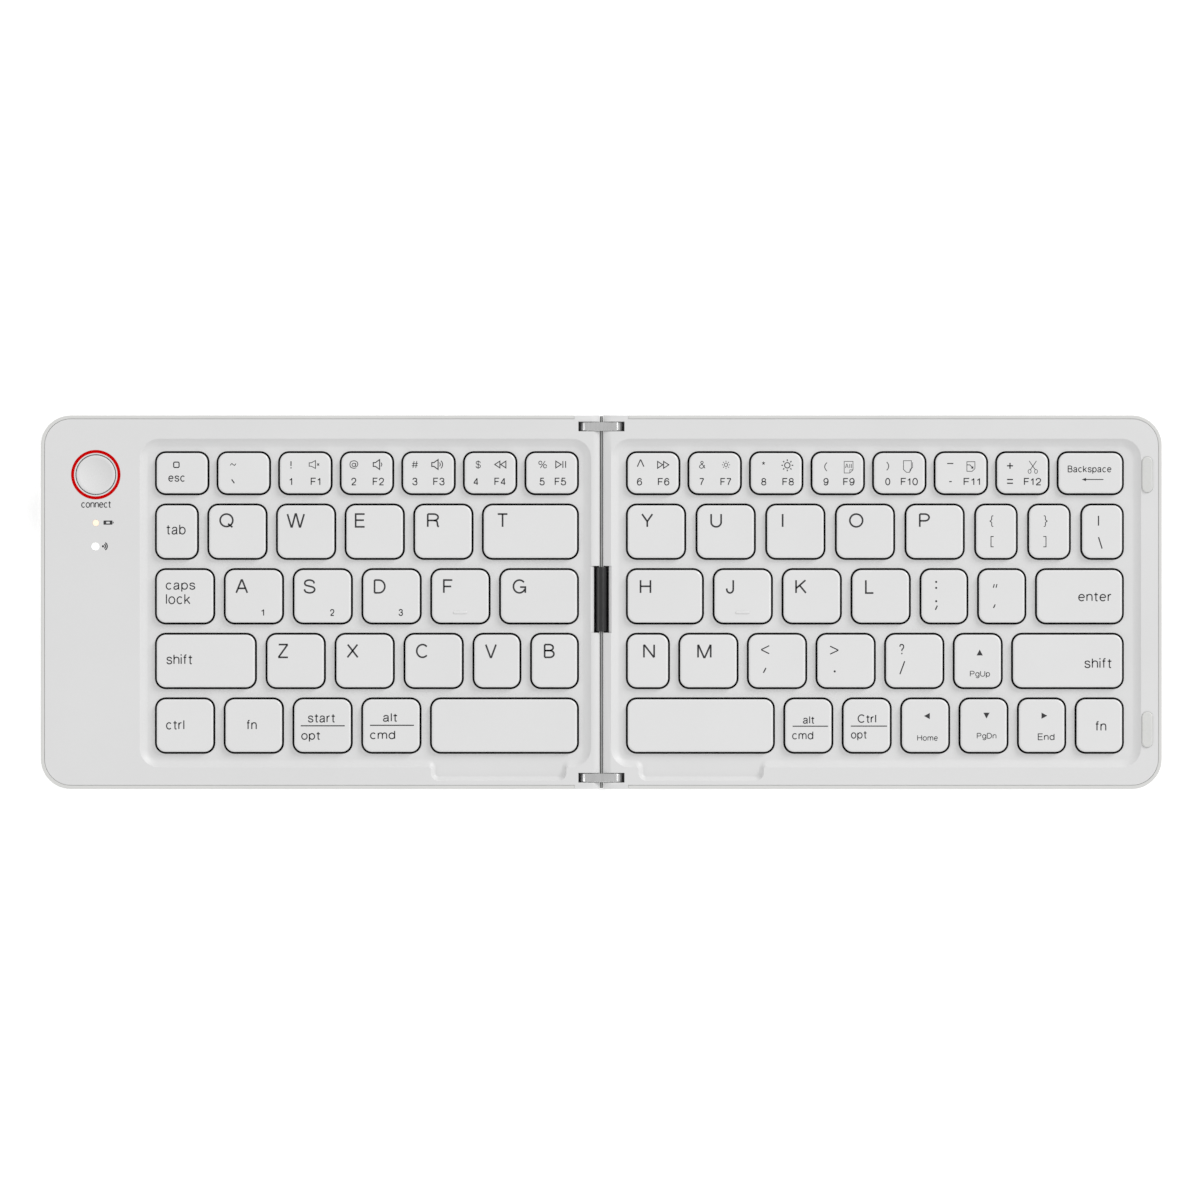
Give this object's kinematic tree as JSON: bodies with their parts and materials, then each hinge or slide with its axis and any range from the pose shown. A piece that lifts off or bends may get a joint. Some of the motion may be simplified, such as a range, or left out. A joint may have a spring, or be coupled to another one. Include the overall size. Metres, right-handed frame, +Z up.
{
  "type": "folding keyboard",
  "caption": "Slim two-part wireless keyboard that folds shut on a two-pivot hinge, with low keys in recessed trays, a round connect button and rubber feet.",
  "frame": {"origin": "middle of the hinge line, on the plane the feet stand on, with the keyboard unfolded flat", "axes": "+X to the right along the key rows, +Y towards the number row, +Z up from the table"},
  "size_m": [0.3, 0.1, 0.0074],
  "materials": {
    "casing": "fine matt moulded, pale warm grey",
    "keycap": "smooth matt moulded, pale grey with dark printed legends",
    "button": "smooth satin, slightly dished",
    "red_ring": "satin red",
    "lens": "milky clear light guide",
    "hinge_metal": "satin metal",
    "pin_steel": "ground steel",
    "sleeve_black": "smooth black",
    "flex_film": "smooth black film",
    "plate_steel": "stamped sheet, black",
    "dome_rubber": "black silicone",
    "scissor_plastic": "black nylon",
    "screw_steel": "zinc plated",
    "foot_rubber": "soft matt",
    "pad_rubber": "soft matt, pale grey",
    "magnet_nickel": "nickel plated",
    "battery_foil": "pouch foil",
    "board": "green solder mask",
    "port_steel": "drawn steel shell"
  },
  "bodies": {
    "left_half": {"left_bottom_cover": "casing", "left_top_cover": "casing", "left_key_plate": "plate_steel", "left_dome_sheet": "dome_rubber", "left_scissors": "scissor_plastic", "left_screws": "screw_steel", "left_feet": "foot_rubber", "left_magnets": "magnet_nickel", "battery": "battery_foil", "main_board": "board", "charge_port": "port_steel", "indicator_lenses": "lens", "connect_ring": "red_ring"},
    "hinge_link": {"hinge_links": "hinge_metal", "hinge_pins": "pin_steel", "cable_sleeve": "sleeve_black", "flex_cable": "flex_film"},
    "right_half": {"right_bottom_cover": "casing", "right_top_cover": "casing", "right_key_plate": "plate_steel", "right_dome_sheet": "dome_rubber", "right_scissors": "scissor_plastic", "right_screws": "screw_steel", "right_feet": "foot_rubber", "right_magnets": "magnet_nickel", "bumper_pads": "pad_rubber"},
    "connect_button": {"connect_button": "button"},
    "key_q": {"key_q": "keycap"},
    "key_w": {"key_w": "keycap"},
    "key_e": {"key_e": "keycap"},
    "key_r": {"key_r": "keycap"},
    "key_t": {"key_t": "keycap"},
    "key_a": {"key_a": "keycap"},
    "key_s": {"key_s": "keycap"},
    "key_d": {"key_d": "keycap"},
    "key_f": {"key_f": "keycap"},
    "key_g": {"key_g": "keycap"},
    "key_z": {"key_z": "keycap"},
    "key_x": {"key_x": "keycap"},
    "key_c": {"key_c": "keycap"},
    "key_v": {"key_v": "keycap"},
    "key_b": {"key_b": "keycap"},
    "key_space_left": {"key_space_left": "keycap"},
    "key_y": {"key_y": "keycap"},
    "key_u": {"key_u": "keycap"},
    "key_i": {"key_i": "keycap"},
    "key_o": {"key_o": "keycap"},
    "key_p": {"key_p": "keycap"},
    "key_h": {"key_h": "keycap"},
    "key_j": {"key_j": "keycap"},
    "key_k": {"key_k": "keycap"},
    "key_l": {"key_l": "keycap"},
    "key_n": {"key_n": "keycap"},
    "key_m": {"key_m": "keycap"},
    "key_space_right": {"key_space_right": "keycap"},
    "keys_number_left": {"keys_number_left": "keycap"},
    "keys_modifier_left": {"keys_modifier_left": "keycap"},
    "keys_number_right": {"keys_number_right": "keycap"},
    "keys_punctuation": {"keys_punctuation": "keycap"},
    "keys_modifier_right": {"keys_modifier_right": "keycap"}
  },
  "joints": [
    {"name": "fold", "type": "hinge", "parent": "hinge_link", "child": "left_half", "pos_m": [-0.00375, 0, 0.00505], "axis": [0, 1, 0], "range_deg": [0, 90], "deforming": ["flex_cable"]},
    {"name": "fold_right", "type": "hinge", "parent": "hinge_link", "child": "right_half", "pos_m": [0.00375, 0, 0.00505], "axis": [0, -1, 0], "range_deg": [0, 90], "deforming": ["flex_cable"]},
    {"name": "connect_press", "type": "slide", "parent": "left_half", "child": "connect_button", "axis": [0, 0, -1], "range_m": [0, 0.0004], "stiffness_N_per_m": 1500, "springref_m": -0.0006},
    {"name": "keys_number_left_press", "type": "slide", "parent": "left_half", "child": "keys_number_left", "axis": [0, 0, -1], "range_m": [0, 0.0012], "stiffness_N_per_m": 1500, "springref_m": -0.0008},
    {"name": "keys_modifier_left_press", "type": "slide", "parent": "left_half", "child": "keys_modifier_left", "axis": [0, 0, -1], "range_m": [0, 0.0012], "stiffness_N_per_m": 1500, "springref_m": -0.0008},
    {"name": "keys_number_right_press", "type": "slide", "parent": "right_half", "child": "keys_number_right", "axis": [0, 0, -1], "range_m": [0, 0.0012], "stiffness_N_per_m": 1500, "springref_m": -0.0008},
    {"name": "keys_punctuation_press", "type": "slide", "parent": "right_half", "child": "keys_punctuation", "axis": [0, 0, -1], "range_m": [0, 0.0012], "stiffness_N_per_m": 1500, "springref_m": -0.0008},
    {"name": "keys_modifier_right_press", "type": "slide", "parent": "right_half", "child": "keys_modifier_right", "axis": [0, 0, -1], "range_m": [0, 0.0012], "stiffness_N_per_m": 1500, "springref_m": -0.0008},
    {"name": "key_q_press", "type": "slide", "parent": "left_half", "child": "key_q", "axis": [0, 0, -1], "range_m": [0, 0.0012], "stiffness_N_per_m": 300, "springref_m": -0.0008},
    {"name": "key_w_press", "type": "slide", "parent": "left_half", "child": "key_w", "axis": [0, 0, -1], "range_m": [0, 0.0012], "stiffness_N_per_m": 300, "springref_m": -0.0008},
    {"name": "key_e_press", "type": "slide", "parent": "left_half", "child": "key_e", "axis": [0, 0, -1], "range_m": [0, 0.0012], "stiffness_N_per_m": 300, "springref_m": -0.0008},
    {"name": "key_r_press", "type": "slide", "parent": "left_half", "child": "key_r", "axis": [0, 0, -1], "range_m": [0, 0.0012], "stiffness_N_per_m": 300, "springref_m": -0.0008},
    {"name": "key_t_press", "type": "slide", "parent": "left_half", "child": "key_t", "axis": [0, 0, -1], "range_m": [0, 0.0012], "stiffness_N_per_m": 300, "springref_m": -0.0008},
    {"name": "key_a_press", "type": "slide", "parent": "left_half", "child": "key_a", "axis": [0, 0, -1], "range_m": [0, 0.0012], "stiffness_N_per_m": 300, "springref_m": -0.0008},
    {"name": "key_s_press", "type": "slide", "parent": "left_half", "child": "key_s", "axis": [0, 0, -1], "range_m": [0, 0.0012], "stiffness_N_per_m": 300, "springref_m": -0.0008},
    {"name": "key_d_press", "type": "slide", "parent": "left_half", "child": "key_d", "axis": [0, 0, -1], "range_m": [0, 0.0012], "stiffness_N_per_m": 300, "springref_m": -0.0008},
    {"name": "key_f_press", "type": "slide", "parent": "left_half", "child": "key_f", "axis": [0, 0, -1], "range_m": [0, 0.0012], "stiffness_N_per_m": 300, "springref_m": -0.0008},
    {"name": "key_g_press", "type": "slide", "parent": "left_half", "child": "key_g", "axis": [0, 0, -1], "range_m": [0, 0.0012], "stiffness_N_per_m": 300, "springref_m": -0.0008},
    {"name": "key_z_press", "type": "slide", "parent": "left_half", "child": "key_z", "axis": [0, 0, -1], "range_m": [0, 0.0012], "stiffness_N_per_m": 300, "springref_m": -0.0008},
    {"name": "key_x_press", "type": "slide", "parent": "left_half", "child": "key_x", "axis": [0, 0, -1], "range_m": [0, 0.0012], "stiffness_N_per_m": 300, "springref_m": -0.0008},
    {"name": "key_c_press", "type": "slide", "parent": "left_half", "child": "key_c", "axis": [0, 0, -1], "range_m": [0, 0.0012], "stiffness_N_per_m": 300, "springref_m": -0.0008},
    {"name": "key_v_press", "type": "slide", "parent": "left_half", "child": "key_v", "axis": [0, 0, -1], "range_m": [0, 0.0012], "stiffness_N_per_m": 300, "springref_m": -0.0008},
    {"name": "key_b_press", "type": "slide", "parent": "left_half", "child": "key_b", "axis": [0, 0, -1], "range_m": [0, 0.0012], "stiffness_N_per_m": 300, "springref_m": -0.0008},
    {"name": "key_space_left_press", "type": "slide", "parent": "left_half", "child": "key_space_left", "axis": [0, 0, -1], "range_m": [0, 0.0012], "stiffness_N_per_m": 300, "springref_m": -0.0008},
    {"name": "key_y_press", "type": "slide", "parent": "right_half", "child": "key_y", "axis": [0, 0, -1], "range_m": [0, 0.0012], "stiffness_N_per_m": 300, "springref_m": -0.0008},
    {"name": "key_u_press", "type": "slide", "parent": "right_half", "child": "key_u", "axis": [0, 0, -1], "range_m": [0, 0.0012], "stiffness_N_per_m": 300, "springref_m": -0.0008},
    {"name": "key_i_press", "type": "slide", "parent": "right_half", "child": "key_i", "axis": [0, 0, -1], "range_m": [0, 0.0012], "stiffness_N_per_m": 300, "springref_m": -0.0008},
    {"name": "key_o_press", "type": "slide", "parent": "right_half", "child": "key_o", "axis": [0, 0, -1], "range_m": [0, 0.0012], "stiffness_N_per_m": 300, "springref_m": -0.0008},
    {"name": "key_p_press", "type": "slide", "parent": "right_half", "child": "key_p", "axis": [0, 0, -1], "range_m": [0, 0.0012], "stiffness_N_per_m": 300, "springref_m": -0.0008},
    {"name": "key_h_press", "type": "slide", "parent": "right_half", "child": "key_h", "axis": [0, 0, -1], "range_m": [0, 0.0012], "stiffness_N_per_m": 300, "springref_m": -0.0008},
    {"name": "key_j_press", "type": "slide", "parent": "right_half", "child": "key_j", "axis": [0, 0, -1], "range_m": [0, 0.0012], "stiffness_N_per_m": 300, "springref_m": -0.0008},
    {"name": "key_k_press", "type": "slide", "parent": "right_half", "child": "key_k", "axis": [0, 0, -1], "range_m": [0, 0.0012], "stiffness_N_per_m": 300, "springref_m": -0.0008},
    {"name": "key_l_press", "type": "slide", "parent": "right_half", "child": "key_l", "axis": [0, 0, -1], "range_m": [0, 0.0012], "stiffness_N_per_m": 300, "springref_m": -0.0008},
    {"name": "key_n_press", "type": "slide", "parent": "right_half", "child": "key_n", "axis": [0, 0, -1], "range_m": [0, 0.0012], "stiffness_N_per_m": 300, "springref_m": -0.0008},
    {"name": "key_m_press", "type": "slide", "parent": "right_half", "child": "key_m", "axis": [0, 0, -1], "range_m": [0, 0.0012], "stiffness_N_per_m": 300, "springref_m": -0.0008},
    {"name": "key_space_right_press", "type": "slide", "parent": "right_half", "child": "key_space_right", "axis": [0, 0, -1], "range_m": [0, 0.0012], "stiffness_N_per_m": 300, "springref_m": -0.0008}
  ],
  "couplings": [
    {"joint": "fold_right", "follows": "fold", "ratio": 1}
  ]
}
